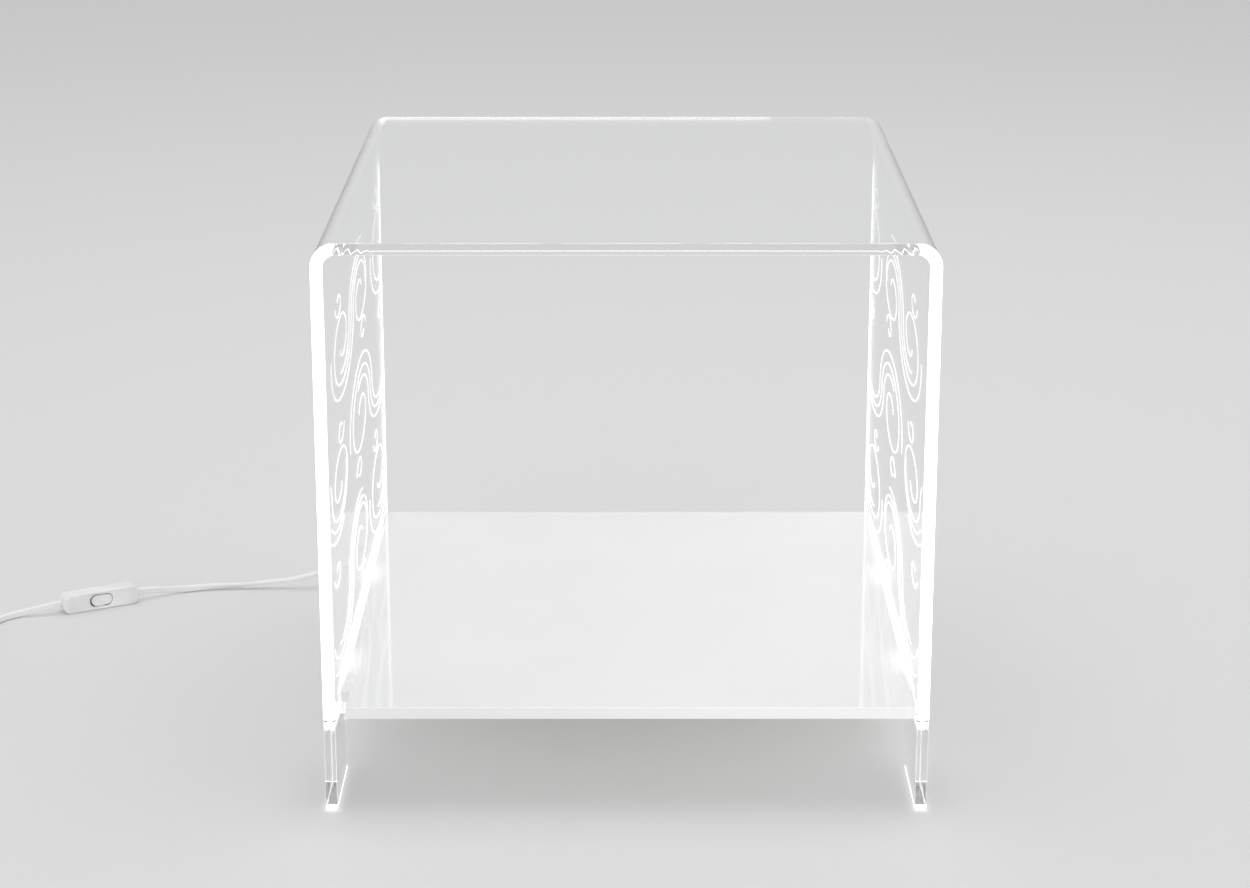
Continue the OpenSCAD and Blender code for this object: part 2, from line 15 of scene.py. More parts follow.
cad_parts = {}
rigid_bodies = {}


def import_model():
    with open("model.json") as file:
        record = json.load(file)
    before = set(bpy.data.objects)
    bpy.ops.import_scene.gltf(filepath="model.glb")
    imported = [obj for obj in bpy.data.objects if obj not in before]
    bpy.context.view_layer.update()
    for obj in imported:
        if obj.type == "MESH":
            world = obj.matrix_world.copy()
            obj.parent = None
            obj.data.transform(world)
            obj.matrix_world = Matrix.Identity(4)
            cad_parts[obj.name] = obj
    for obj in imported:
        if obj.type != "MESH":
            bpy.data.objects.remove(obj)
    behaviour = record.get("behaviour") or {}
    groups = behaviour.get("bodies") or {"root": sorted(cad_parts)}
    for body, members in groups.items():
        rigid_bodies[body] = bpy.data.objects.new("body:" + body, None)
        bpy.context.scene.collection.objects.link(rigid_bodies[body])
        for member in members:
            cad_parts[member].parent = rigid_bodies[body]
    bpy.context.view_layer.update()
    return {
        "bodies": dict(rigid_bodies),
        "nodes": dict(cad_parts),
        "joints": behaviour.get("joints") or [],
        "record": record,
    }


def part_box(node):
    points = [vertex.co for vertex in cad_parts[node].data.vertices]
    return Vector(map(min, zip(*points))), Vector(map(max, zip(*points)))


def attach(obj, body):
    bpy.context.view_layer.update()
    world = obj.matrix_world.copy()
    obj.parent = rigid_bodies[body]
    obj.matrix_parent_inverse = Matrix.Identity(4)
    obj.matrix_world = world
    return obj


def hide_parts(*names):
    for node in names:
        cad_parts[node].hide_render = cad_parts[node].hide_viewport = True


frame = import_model()
CUBE = "cube"
ROCKER = "rocker"
SIDES = ("left", "right")
print("loaded", len(frame["nodes"]), "nodes")

# %% [markdown]
# ## Camera
# A long lens from a low height keeps the upright edges almost parallel, as a catalogue picture does.
# The camera stands straight in front of the open side and looks down a little.

# %% Make the camera
CAMERA_LENS = 86.03
CAMERA_PLACE = (-0.0008, -2.0657, 0.7945)
CAMERA_DOWN = math.radians(16.387)


def show(name, data):
    """A new object in the scene."""
    made = bpy.data.objects.new(name, data)
    bpy.context.scene.collection.objects.link(made)
    return made


def make_camera():
    data = bpy.data.cameras.new("camera")
    data.lens = CAMERA_LENS
    data.sensor_width = 36
    data.clip_end = 60
    camera = show("camera", data)
    camera.location = CAMERA_PLACE
    camera.rotation_euler = (math.pi / 2 - CAMERA_DOWN, 0, 0)
    bpy.context.scene.camera = camera
    return camera


camera = make_camera()
print("camera", [round(v, 3) for v in camera.location])

# %% [markdown]
# ## Shader sums in plain Python
# A procedural material is a small calculation. Wrapping a socket in a class lets the calculation be
# written as a sum, and each sign adds its Math node. The reflected minus makes 1 - mask work too.

# %% Wrap a shader socket


class Number:
    """A number in a shader. Sums on it add Math nodes."""

    def __init__(self, finish, socket):
        self.finish = finish
        self.socket = socket

    def math(self, operation, *others):
        return self.finish.add("Math", {"operation": operation}, [self, *others])

    def __add__(self, other):
        return self.math("ADD", other)

    def __mul__(self, other):
        return self.math("MULTIPLY", other)

    def __sub__(self, other):
        return self.math("SUBTRACT", other)

    def __rsub__(self, other):
        return self.finish.add("Math", {"operation": "SUBTRACT"}, [other, self])

    def __abs__(self):
        return self.math("ABSOLUTE")

    def between(self, low, high):
        """0 up to low, 1 from high on, smooth in between. Low may be the larger one."""
        settings = {"interpolation_type": "SMOOTHSTEP"}
        rising = low < high
        ends = {"From Min": min(low, high), "From Max": max(low, high)}
        ends.update({"To Min": 0.0 if rising else 1.0, "To Max": 1.0 if rising else 0.0})
        return self.finish.add("MapRange", settings, {"Value": self, **ends})


class Finish:
    """One material, with a Principled shader ready in it."""

    def __init__(self, name, base=(0.8, 0.8, 0.8), **sockets):
        self.material = bpy.data.materials.new(name)
        self.material.use_nodes = True
        self.tree = self.material.node_tree
        self.shader = self.tree.nodes["Principled BSDF"]
        self.output = self.tree.nodes["Material Output"]
        self.set("Base Color", base)
        for socket, value in sockets.items():
            self.set(socket.replace("_", " ").title().replace("Ior", "IOR"), value)

    def set(self, socket, value):
        """Puts a value or a link into one of the Principled shader's sockets."""
        self.put(self.shader.inputs[socket], value)

    def put(self, socket, value):
        if isinstance(value, Number):
            self.tree.links.new(value.socket, socket)
        elif socket.type == "RGBA":
            socket.default_value = (*value, 1.0)
        else:
            socket.default_value = value

    def add(self, kind, settings=None, values=(), out=0):
        """Any node: its type, its settings, then the values or links of its sockets."""
        node = self.tree.nodes.new("ShaderNode" + kind)
        for name, value in (settings or {}).items():
            setattr(node, name, value)
        pairs = values.items() if isinstance(values, dict) else enumerate(values)
        for key, value in pairs:
            self.put(node.inputs[key], value)
        return Number(self, node.outputs[out])

    def place(self, scale=(1, 1, 1)):
        """The point on the piece, in metres, stretched by scale."""
        point = self.add("TexCoord", out="Object")
        return self.add("Mapping", {"vector_type": "POINT"}, {"Vector": point, "Scale": scale})

    def axes(self):
        """The point's x, y and z, as three numbers."""
        point = self.add("TexCoord", out="Object")
        split = self.add("SeparateXYZ", None, [point])
        outs = split.socket.node.outputs
        return [Number(self, outs[k]) for k in range(3)]

    def noise(self, scale, detail, stretch=(1, 1, 1)):
        values = {"Vector": self.place(stretch), "Scale": scale, "Detail": detail}
        return self.add("TexNoise", None, values)

    def mix(self, factor, first, second):
        """A colour between two others."""
        node = self.add("Mix", {"data_type": "RGBA"}, {"Factor": factor}).socket.node
        self.put(node.inputs[6], first)
        self.put(node.inputs[7], second)
        return Number(self, node.outputs[2])

    def colour(self, factor, first, second):
        """Gives the surface a colour between two others."""
        self.set("Base Color", self.mix(factor, first, second))

    def shine(self, factor, first, second, strength):
        """Lets the surface give out light, of a colour between two others."""
        self.set("Emission Color", self.mix(factor, first, second))
        self.set("Emission Strength", strength)

    def bump(self, height, distance):
        self.set("Normal", self.add("Bump", None, {"Height": height, "Distance": distance}))


def shade(colour, level):
    """The same colour at another brightness."""
    return tuple(v * level for v in colour)


print("shader sums ready")

# %% [markdown]
# ## Cord finish
# Soft white PVC has a satin skin and picks up a little grey where it is handled. Its grain is so small
# that it belongs in a bump, not in the mesh.

# %% Cord and lead materials


def soft_pvc(name, base):
    made = Finish(name, base, specular_ior_level=0.45)
    dust = made.noise(38, 4).between(0.35, 0.8)
    made.colour(dust * 0.5, base, shade(base, 0.9))
    made.set("Roughness", made.noise(160, 2) * 0.18 + 0.34)
    made.bump(made.noise(2400, 2), 0.00002)
    return made.material


CORD_WHITE = soft_pvc("cord_pvc", (0.94, 0.94, 0.93))
LEAD_WHITE = soft_pvc("lead_pvc", (0.8, 0.8, 0.79))
print("cord materials ready")

# %% [markdown]
# ## Making pieces
# Each new piece is a bmesh that becomes an object at the origin, with its place in its mesh. The helpers
# here do what every piece needs: write the mesh, shade it smooth except at true edges, give it its
# material, say which body it rides on, and hide the CAD nodes that it stands in for.

# %% Helpers for meshes
SAME_PLACE = 1e-6


def to_mesh(bm, name):
    mesh = bpy.data.meshes.new(name)
    bm.to_mesh(mesh)
    bm.free()
    return mesh


def tidy_mesh(bm):
    """Joins points in one place and turns all faces outwards."""
    bmesh.ops.remove_doubles(bm, verts=bm.verts, dist=SAME_PLACE)
    bmesh.ops.recalc_face_normals(bm, faces=bm.faces)
    return bm


def finish_piece(bm, name, material, replaces=(), smooth=15, body=CUBE):
    """Turns a bmesh into a finished piece.

    material is one finish, or the finishes of its faces by index. smooth is the greatest angle, in
    degrees, that is shaded as a round."""
    tidy_mesh(bm)
    mesh = to_mesh(bm, name)
    for polygon in mesh.polygons:
        polygon.use_smooth = True
    mesh.set_sharp_from_angle(angle=math.radians(smooth))
    for finish in material if isinstance(material, list) else [material]:
        mesh.materials.append(finish)
    piece = show(name, mesh)
    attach(piece, body)
    if replaces:
        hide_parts(*replaces)
    print(name, len(mesh.polygons), "faces")
    return piece


def soften(bm, width, degrees=50):
    """Rounds the sharp edges, as a maker takes the arris off. Returns the new narrow faces."""
    least = math.radians(degrees)
    sharp = [e for e in bm.edges if e.is_manifold and e.calc_face_angle(0) > least]
    return bmesh.ops.bevel(bm, geom=sharp, offset=width, affect="EDGES", segments=2,
                           profile=0.5, material=-1, clamp_overlap=True)["faces"]


def first_face(found):
    return next(g for g in found if isinstance(g, bmesh.types.BMFace))


def add_box(bm, low, high):
    """A box between two corners."""
    low = Vector(low)
    high = Vector(high)
    turn = Matrix.Translation((low + high) / 2) @ Matrix.Diagonal((*(high - low), 1))
    bmesh.ops.create_cube(bm, size=1, matrix=turn)


def extrude(bm, faces, shift):
    """Extrudes faces by a shift. Returns what is new."""
    made = bmesh.ops.extrude_face_region(bm, geom=faces)["geom"]
    verts = [g for g in made if isinstance(g, bmesh.types.BMVert)]
    bmesh.ops.translate(bm, verts=verts, vec=shift)
    return made


def slab(outline, shift):
    """A flat outline given a thickness."""
    bm = bmesh.new()
    bm.faces.new([bm.verts.new(p) for p in outline])
    extrude(bm, bm.faces[:], shift)
    bmesh.ops.recalc_face_normals(bm, faces=bm.faces)
    return bm


def merge(bm, *others):
    """Puts other meshes into this one."""
    for other in others:
        part = to_mesh(other, "part")
        bm.from_mesh(part)
        bpy.data.meshes.remove(part)
    return bm


def smooth_line(points, step):
    """A smooth line through the points, with a new point about every step."""
    points = [Vector(p) for p in points]
    ends = [2 * points[0] - points[1], *points, 2 * points[-1] - points[-2]]
    line = [points[0]]
    for before, a, b, after in zip(ends, ends[1:], ends[2:], ends[3:]):
        count = max(2, round((b - a).length / step))
        for i in range(1, count + 1):
            t = i / count
            line.append(0.5 * (2 * a + (b - before) * t
                               + (2 * before - 5 * a + 4 * b - after) * t * t
                               + (3 * a - before - 3 * b + after) * t ** 3))
    return line


def line_length(points):
    return sum((b - a).length for a, b in zip(points, points[1:]))


def twin_outline(width, thickness, steps=9):
    """The outline of a flat twin cord: two round cores side by side with a groove between them."""
    radius = thickness / 2
    offset = width / 2 - radius
    meet = math.acos(-offset / radius)
    half = [meet * (2 * i / steps - 1) for i in range(steps + 1)]
    right = [(offset + radius * math.cos(a), radius * math.sin(a)) for a in half]
    left = [(-x, -y) for x, y in right]
    return right[:-1] + left[:-1]


def round_outline(diameter, steps=12):
    turns = [2 * math.pi * i / steps for i in range(steps)]
    return [(diameter / 2 * math.cos(a), diameter / 2 * math.sin(a)) for a in turns]


def loft(rings, ends=True):
    """Extrudes the first ring's edges from ring to ring, and closes the ends if asked to."""
    bm = bmesh.new()
    ring = [bm.verts.new(p) for p in rings[0]]
    edges = [bm.edges.new(pair) for pair in zip(ring, ring[1:] + ring[:1])]
    if ends:
        bm.faces.new(list(reversed(ring)))
    for places in rings[1:]:
        made = set(bmesh.ops.extrude_edge_only(bm, edges=edges)["geom"])
        edges = [g for g in made if isinstance(g, bmesh.types.BMEdge) and made.issuperset(g.verts)]
        ring = [next(e.other_vert(v) for e in v.link_edges if e.other_vert(v) in made) for v in ring]
        for vert, place in zip(ring, places):
            vert.co = place
    if ends:
        bm.faces.new(ring)
    return bm


def sweep(line, outline, up=Vector((0, 0, 1)), roll=lambda point: 0.0):
    """Carries an outline along a line, with its thin side along up, and closes the ends.

    roll gives the angle that the outline is turned by at a point."""
    count = len(line)

    def ring_points(i):
        ahead = (line[min(i + 1, count - 1)] - line[max(i - 1, 0)]).normalized()
        side = Matrix.Rotation(roll(line[i]), 3, ahead) @ up.cross(ahead).normalized()
        over = ahead.cross(side)
        return [line[i] + side * x + over * y for x, y in outline]

    return loft([ring_points(i) for i in range(count)])


print("mesh helpers ready")

# %% [markdown]
# ## The cord
# A flat twin cord keeps its wide side level when it lies on a table. The switch stands on one side, so
# close to it the cord is rolled on to its edge. The routes are the lists of points that the CAD model
# has. The cord leaves the driver, drops to the table, runs through the switch, and what is left is
# wound into a coil beside its plug.

# %% Cord routes
CORD_W = 0.0054
CORD_T = 0.0032
DRIVER_EXIT = (-0.122, 0.180, 0.052)
SWITCH_AT = Vector((-0.419, 0.178, 0))
EDGE_NEAR = 0.075
LEVEL_FROM = 0.140


def metres(points):
    """The same points in metres, from millimetres."""
    return [tuple(v / 1000 for v in point) for point in points]


SUPPLY_ROUTE = metres([
    (-122, 174, 52), (-122, 189, 52), (-122, 204, 52), (-125, 217, 51), (-134, 228, 49),
    (-147, 234, 46), (-162, 235, 42), (-177, 234, 37), (-192, 233, 32), (-206, 231, 27),
    (-220, 229, 22), (-236, 226, 17), (-252, 223, 12), (-270, 222, 8), (-290, 222, 5.5),
    (-312, 221, 3.5), (-334, 218, 3.2), (-352, 213, 3), (-366, 207, 4.5), (-378, 200, 6.5),
    (-389, 194, 7.5), (-399, 188.5, 7.5)
])
PLUG_ROUTE = metres([
    (-439, 167.5, 7.5), (-450, 161.5, 7.5), (-460, 158, 6), (-471, 155, 4), (-481, 150, 3),
    (-488, 142, 3.1), (-492, 133, 3.2), (-495, 121, 3.2), (-497, 108, 3.1), (-497, 94, 2.9),
    (-497, 80, 2.5), (-497, 66, 2.1)
])
TAIL_ROUTE = metres([
    (-497, 38, 12), (-498, 26, 10), (-500, 14, 8), (-501, 2, 7), (-501, -12, 7)
])
COIL_RADIUS = 0.028
TURN_W = 0.0056
TURN_H = 0.0034
COIL_TURNS = [(1, 0), (0, 0), (0, 1), (1, 1), (1, 2), (0, 2), (1, 3)]
POINTS_PER_TURN = 48
CROSS_OVER = 0.2
CORD_STEP = 0.0026


def coil_points():
    """Seven clockwise turns in two columns, each turn crossing over to its next place near its end."""
    low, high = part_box("cord_coil")
    centre = (low + high) / 2
    floor = low.z + CORD_T / 2
    points = []
    for i in range(1, POINTS_PER_TURN * len(COIL_TURNS)):
        turn, along = divmod(i / POINTS_PER_TURN, 1)
        here = COIL_TURNS[int(turn)]
        after = COIL_TURNS[min(int(turn) + 1, len(COIL_TURNS) - 1)]
        t = min(max((along - 1 + CROSS_OVER) / CROSS_OVER, 0), 1)
        blend = t * t * (3 - 2 * t)
        column = here[0] + (after[0] - here[0]) * blend
        layer = here[1] + (after[1] - here[1]) * blend
        radius = COIL_RADIUS + TURN_W * (column - 0.5)
        angle = -2 * math.pi * along
        points.append((centre.x + radius * math.cos(angle), centre.y + radius * math.sin(angle),
                       floor + TURN_H * layer))
    return points


def edge_roll(point):
    """A quarter turn at the switch, none further off."""
    far = (point - SWITCH_AT).length
    return math.pi / 2 * min(1, max(0, (LEVEL_FROM - far) / (LEVEL_FROM - EDGE_NEAR)))


def make_cord(name, points, replaces):
    line = smooth_line(points, CORD_STEP)
    bm = sweep(line, twin_outline(CORD_W, CORD_T), roll=edge_roll)
    cord = finish_piece(bm, name, CORD_WHITE, replaces, smooth=60)
    print(name, "is", round(line_length(line), 3), "m long")
    return cord, line


supply_cord, supply_line = make_cord("flat_supply_cord", SUPPLY_ROUTE, ["supply_cord"])
plug_points = PLUG_ROUTE + coil_points() + TAIL_ROUTE
plug_cord, plug_line = make_cord("flat_plug_cord", plug_points, ["plug_cord", "cord_coil"])

# %% [markdown]
# ## Clear acrylic
# Cast acrylic bends light by 1.49 and is almost colourless. Where it is thick and seen along its length
# it looks a little blue-grey. Lamp light has to get through it to the table, so shadow rays meet a
# see-through shader, slightly grey, and all other rays meet the real one.

# %% Clear acrylic
ACRYLIC_IOR = 1.49
LAMP_PASS = 0.9


def let_lamps_through(made):
    """Mixes in a see-through shader that only shadow rays meet."""
    tree = made.tree
    ray = made.add("LightPath", out="Is Shadow Ray")
    clear = tree.nodes.new("ShaderNodeBsdfTransparent")
    made.put(clear.inputs["Color"], (LAMP_PASS, LAMP_PASS, LAMP_PASS))
    mix = tree.nodes.new("ShaderNodeMixShader")
    made.put(mix.inputs[0], ray)
    tree.links.new(made.shader.outputs[0], mix.inputs[1])
    tree.links.new(clear.outputs[0], mix.inputs[2])
    tree.links.new(mix.outputs[0], made.output.inputs["Surface"])


def clear_acrylic(name, glow, strength, inside=0.0):
    """Polished clear acrylic. glow(made) gives a mask of where light comes out of the sheet.

    Light that comes out of a polished face shows from outside only, and a scattering one shines both ways.
    inside says how much of it shows from inside the sheet, as a number or as a shader mask."""
    made = Finish(name, (0.985, 0.992, 1.0), transmission_weight=1.0, ior=ACRYLIC_IOR)
    polish = made.noise(9, 3).between(0.45, 0.8)
    made.set("Roughness", polish * 0.012 + 0.004)
    within = inside(made) if callable(inside) else inside
    mask = glow(made) * (1 - made.add("NewGeometry", out="Backfacing") * (1 - within))
    made.shine(mask, (0, 0, 0), (1.0, 0.99, 1.0), strength)
    let_lamps_through(made)
    return made.material


hood_low, hood_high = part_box("hood")
leg_low, leg_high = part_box("left_leg_plate")
shelf_low, shelf_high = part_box("shelf")
SHEET = leg_high.x - leg_low.x
BEND_OUT = 2 * SHEET
EDGE_SKIN = 0.0006
print("sheet", round(SHEET * 1000, 2), "mm")

# %% [markdown]
# ## How the edges glow
# Light enters the side panels from the tape under them and runs inside the sheet by total reflection.
# It escapes where the surface ends or is cut. So the front and rear edges glow all the way up, the
# bends glow in patches, and the light dies away a few centimetres along the top. The mask below reads
# the point on the hood: near an open end, and near a side.

# %% Hood finish


def hood_glow(made):
    x, y, z = made.axes()
    end = abs(y).between(hood_high.y - 2 * EDGE_SKIN, hood_high.y - EDGE_SKIN)
    side = abs(x).between(hood_high.x - 0.030, hood_high.x - 0.012)
    mottle = made.noise(260, 2, (1, 0.2, 0.45)).between(0.47, 0.56)
    bend = z.between(hood_high.z - 0.052, hood_high.z - 0.030)
    patchy = side * (1 - bend * (1 - mottle * 0.07))
    return end * patchy


def rear_glow(made):
    """The rear uprights show from inside too, so they are thin white lines through the side panels."""
    y, z = made.axes()[1:]
    return y.between(0.0, 0.1) * z.between(hood_high.z - 0.034, hood_high.z - 0.050)


def arris_glow_and_painted_highlight(made):
    """A ground arris scatters the tape's light, so on the side panels it shows as a thin white line, a
    little uneven along its length. On the top the same line is a painted highlight, and on the legs it is
    partly the tape's light and partly a painted highlight.

    It is brightest on the rear uprights, and faint on the under side of the top."""
    y, z = made.axes()[1:]
    uneven = made.noise(45, 2).between(0.2, 0.6) * 0.45 + 0.55
    behind = y.between(0.0, 0.1)
    upright = z.between(hood_high.z - 0.012, hood_high.z - 0.024)
    rear = behind * upright * 0.6 - behind * 0.12
    ceiling = hood_high.z - SHEET
    under = z.between(ceiling - 0.001, ceiling - 0.0006) * z.between(ceiling + 0.0012, ceiling + 0.0008)
    return uneven * (rear + 0.36) * (1 - under * 0.7)


# Both arris finishes give out the tape's light on the side panels, and a painted highlight on the top and,
# in part, on the legs.
ARRIS_GLOW_AND_HIGHLIGHT = clear_acrylic("arris_glow_and_highlight", arris_glow_and_painted_highlight, 2.4, inside=1.0)
LEG_ARRIS = clear_acrylic("leg_arris", arris_glow_and_painted_highlight, 0.85, inside=1.0)
HOOD_CLEAR = clear_acrylic("hood_acrylic", hood_glow, 2.4, inside=rear_glow)
print("hood finish ready")

# %% [markdown]
# ## The hood
# A real hood is one flat sheet, heated along two lines and folded. The mesh is made the same way: a
# strip as wide as the cube is deep is extruded up one side, spun round each bend and carried over the
# top. A short flat strip on each side of a bend keeps its smooth shading off the big flat faces. At the
# end every arris gets a narrow polished chamfer.

# %% Bend the hood
BEND_STEPS = 24
GUARD = 0.002
ARRIS = 0.00045


def push(bm, face, shift):
    """Extrudes one face by a shift and returns the new far face."""
    made = extrude(bm, [face], shift)
    bmesh.ops.delete(bm, geom=[face], context="FACES_ONLY")
    return first_face(made)


def fold(bm, face, centre):
    """Carries a face through a quarter turn about a line along y."""
    spun = bmesh.ops.spin(bm, geom=[face], cent=centre, axis=(0, 1, 0), dvec=(0, 0, 0),
                          angle=math.pi / 2, steps=BEND_STEPS, use_merge=False, use_duplicate=False)
    bmesh.ops.delete(bm, geom=[face], context="FACES_ONLY")
    return first_face(spun["geom_last"])


def light_arrises(bm):
    """Chamfers the arrises and gives the chamfers the piece's second finish."""
    for face in soften(bm, ARRIS):
        face.material_index = 1


def make_hood():
    bm = bmesh.new()
    depth = hood_high.y - hood_low.y
    foot = Matrix.Translation((hood_low.x + SHEET / 2, 0, hood_low.z))
    foot = foot @ Matrix.Diagonal((SHEET, depth, 1, 1))
    bmesh.ops.create_grid(bm, x_segments=1, y_segments=1, size=0.5, matrix=foot)
    face = first_face(bmesh.ops.duplicate(bm, geom=bm.faces[:])["geom"])
    bend_z = hood_high.z - BEND_OUT
    bend_x = hood_high.x - BEND_OUT
    face = push(bm, face, (0, 0, bend_z - GUARD - hood_low.z))
    face = push(bm, face, (0, 0, GUARD))
    face = fold(bm, face, (-bend_x, 0, bend_z))
    face = push(bm, face, (GUARD, 0, 0))
    face = push(bm, face, (2 * (bend_x - GUARD), 0, 0))
    face = push(bm, face, (GUARD, 0, 0))
    face = fold(bm, face, (bend_x, 0, bend_z))
    face = push(bm, face, (0, 0, -GUARD))
    push(bm, face, (0, 0, hood_low.z + GUARD - bend_z))
    tidy_mesh(bm)
    light_arrises(bm)
    return finish_piece(bm, "bent_hood", [HOOD_CLEAR, ARRIS_GLOW_AND_HIGHLIGHT], ["hood"])


make_hood()

# %% [markdown]
# ## Leg plates and rails
# The legs are sawn from flat sheet, so they are an outline given a thickness. The arch starts as two
# square corners that a vertex bevel turns into quarter rounds, like the radius a router leaves. A little
# of the tape's light runs down into them and shows under their feet and near their tops. The thin
# white lines along their edges are partly that light and partly a painted highlight.

# %% Legs and rails


def leg_glow(made):
    y, z = made.axes()[1:]
    front = y.between(leg_low.y + 0.001, leg_low.y + 0.0004)
    foot = z.between(0.0034, 0.0014) * z.between(0.0001, 0.0005) * (front * 0.83 + 0.17)
    speckle = made.noise(700, 2).between(0.44, 0.52) * z.between(0.0002, 0.00005) * 0.12
    ragged = made.noise(420, 1, (1, 1, 0.3)) * 0.004
    top = (z + ragged).between(leg_high.z - 0.0006, leg_high.z + 0.0012) * 0.08
    return foot + top + speckle


def rail_glow(made):
    """The rails lie beside the tape, so they are faintly lit all over."""
    return made.noise(40, 2) * 0.5 + 0.5


LEG_CLEAR = clear_acrylic("leg_acrylic", leg_glow, 6.0)
RAIL_CLEAR = clear_acrylic("rail_acrylic", rail_glow, 0.12, inside=1.0)
FOOT_D = 0.072
ARCH_H = 0.044
ARCH_R = 0.012
RAIL_ROUND = 0.0004


def make_leg(side):
    low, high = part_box(f"{side}_leg_plate")
    inner = high.y - FOOT_D
    outline = [(low.y, 0), (-inner, 0), (-inner, ARCH_H), (inner, ARCH_H), (inner, 0),
               (high.y, 0), (high.y, high.z), (low.y, high.z)]
    bm = bmesh.new()
    verts = [bm.verts.new((low.x, y, z)) for y, z in outline]
    bm.faces.new(verts)
    bmesh.ops.bevel(bm, geom=verts[2:4], offset=ARCH_R, affect="VERTICES", segments=12,
                    profile=0.5, material=-1)
    extrude(bm, bm.faces[:], (high.x - low.x, 0, 0))
    tidy_mesh(bm)
    light_arrises(bm)
    return finish_piece(bm, f"{side}_arched_leg", [LEG_CLEAR, LEG_ARRIS], [f"{side}_leg_plate"])


def make_rail(side):
    bm = bmesh.new()
    add_box(bm, *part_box(f"{side}_fixing_rail"))
    soften(bm, RAIL_ROUND)
    return finish_piece(bm, f"{side}_square_rail", RAIL_CLEAR, [f"{side}_fixing_rail"])


for side in SIDES:
    make_leg(side)
    make_rail(side)

# %% [markdown]
# ## The shelf
# Opal acrylic is white all through and as glossy as glass, so it mirrors the panels beside it. The
# light tape is just under its two ends. Light leaks up there in a narrow bright band that starts where
# the tape's chips start, with two soft hot spots, and a faint wash spreads over the sheet. On top of
# that there is painted light: the whole sheet shines a little, more towards the right end, the front
# face is painted brighter, and a painted glow on the under side lightens the shade below the shelf.

# %% Shelf finish and mesh
BAND_REAR = 0.162
BAND_FRONT = -0.197
HOT_SPOTS = (-0.137, 0.046)


def opal_acrylic():
    made = Finish("opal_acrylic", (0.86, 0.86, 0.865), ior=1.6)
    x, y, z = made.axes()
    lit = y.between(BAND_REAR, BAND_REAR - 0.004) * y.between(BAND_FRONT - 0.002, BAND_FRONT + 0.004)
    reach = shelf_high.x - abs(x)
    pointed = y.between(BAND_FRONT + 0.08, BAND_FRONT) * 0.0016
    above = z.between(shelf_low.z + 0.002, shelf_low.z + 0.004)
    band = (reach + pointed).between(0.0021, 0.0013) * lit * above
    wash = reach.between(0.16, 0.0) * abs(y).between(0.26, 0.10) * 0.05
    spots = 0
    for spot_y in HOT_SPOTS:
        near = abs(y - spot_y).between(0.040, 0.0) * reach.between(0.016, 0.0)
        spots = near * 0.2 + spots
    # Painted light: front makes the front face brighter, more so to the right; under is a painted glow on
    # the under side that lightens the shade below the shelf; right and the last constant lift the whole
    # sheet, more towards the right end.
    front = y.between(shelf_low.y + 0.0008, shelf_low.y + 0.0003)
    under = z.between(shelf_low.z + 0.0006, shelf_low.z + 0.0001)
    right = x.between(-0.19, 0.19)
    glow = band * 0.9 + wash + spots + front * (right * 0.08 + 0.02) + under * 0.14 + right * 0.05 + 0.03
    made.shine(glow, (0, 0, 0), (1.0, 0.995, 0.96), 1.0)
    made.colour(made.noise(14, 2), (0.84, 0.84, 0.85), (0.88, 0.88, 0.88))
    made.set("Roughness", made.noise(55, 3).between(0.3, 0.9) * 0.05 + 0.035)
    made.bump(made.noise(12, 1), 0.00001)
    return made.material


OPAL = opal_acrylic()
RELIEF_W = 0.0055
RELIEF_D = 0.030
SHELF_ROUND = 0.0005


def make_shelf():
    low, high = shelf_low, shelf_high
    outline = [(low.x + RELIEF_W, low.y), (high.x, low.y), (high.x, high.y), (low.x, high.y),
               (low.x, low.y + RELIEF_D), (low.x + RELIEF_W, low.y + RELIEF_D)]
    bm = slab([(x, y, low.z) for x, y in outline], (0, 0, high.z - low.z))
    soften(bm, SHELF_ROUND)
    return finish_piece(bm, "opal_shelf", OPAL, ["shelf"])


make_shelf()

# %% [markdown]
# ## Engraved curls
# A cutter leaves a shallow groove in each side panel. The sheet is lit from below and a groove lets the
# light out, so it shines like a drawn line. The pattern is rows of S-scrolls: two volutes with a shared
# stem, more lines beside it and a small hook in each hollow. Each line is swept as a flat bar with
# sloping sides that lies on the sheet's inner face, wide side down.

# %% Draw the curls
FIELD_Y = 0.2155
FIELD_LOW = 0.0755
FIELD_HIGH = 0.338
CURL_STEP = 0.0042
CURL_WIDTH = 0.0016
CURL_PROUD = 0.0004
CURL_SKIN = 0.00002
LEAN = 2.3
CURL_SIZE = 0.0325
CURL_GAP = 0.0075
CURL_ROWS = (0.118, 0.205, 0.292)


def volute(centre, size, mirror, turns, tighten):
    """Half of a scroll: over an arch and round into itself. mirror is 1 or -1 along y and along z."""
    steps = max(16, round(2 * math.pi * turns * size * 0.8 / CURL_STEP))
    line = []
    for n in range(steps + 1):
        s = n / steps
        a = math.pi - 2 * math.pi * turns * s
        reach = size * (1 - tighten * s ** 1.15)
        line.append((centre[0] + LEAN * mirror[0] * reach * math.cos(a),
                     centre[1] + mirror[1] * reach * math.sin(a)))
    return line


def scroll(middle, size, hand, turns, tighten, offset=0.0):
    """Two volutes joined in an S. offset moves the whole line to one side of itself."""
    left = (middle[0] - LEAN * size, middle[1])
    right = (middle[0] + LEAN * size, middle[1])
    one = volute(left, size + offset, (-1, hand), turns, tighten)
    other = volute(right, size - offset, (1, -hand), turns, tighten)
    return one[:0:-1] + other


def inside_field(points):
    """The longest run of points that stays on the engraved field."""
    runs = [[]]
    for y, z in points:
        if abs(y) < FIELD_Y and FIELD_LOW < z < FIELD_HIGH:
            runs[-1].append((y, z))
        elif runs[-1]:
            runs.append([])
    return max(runs, key=len)


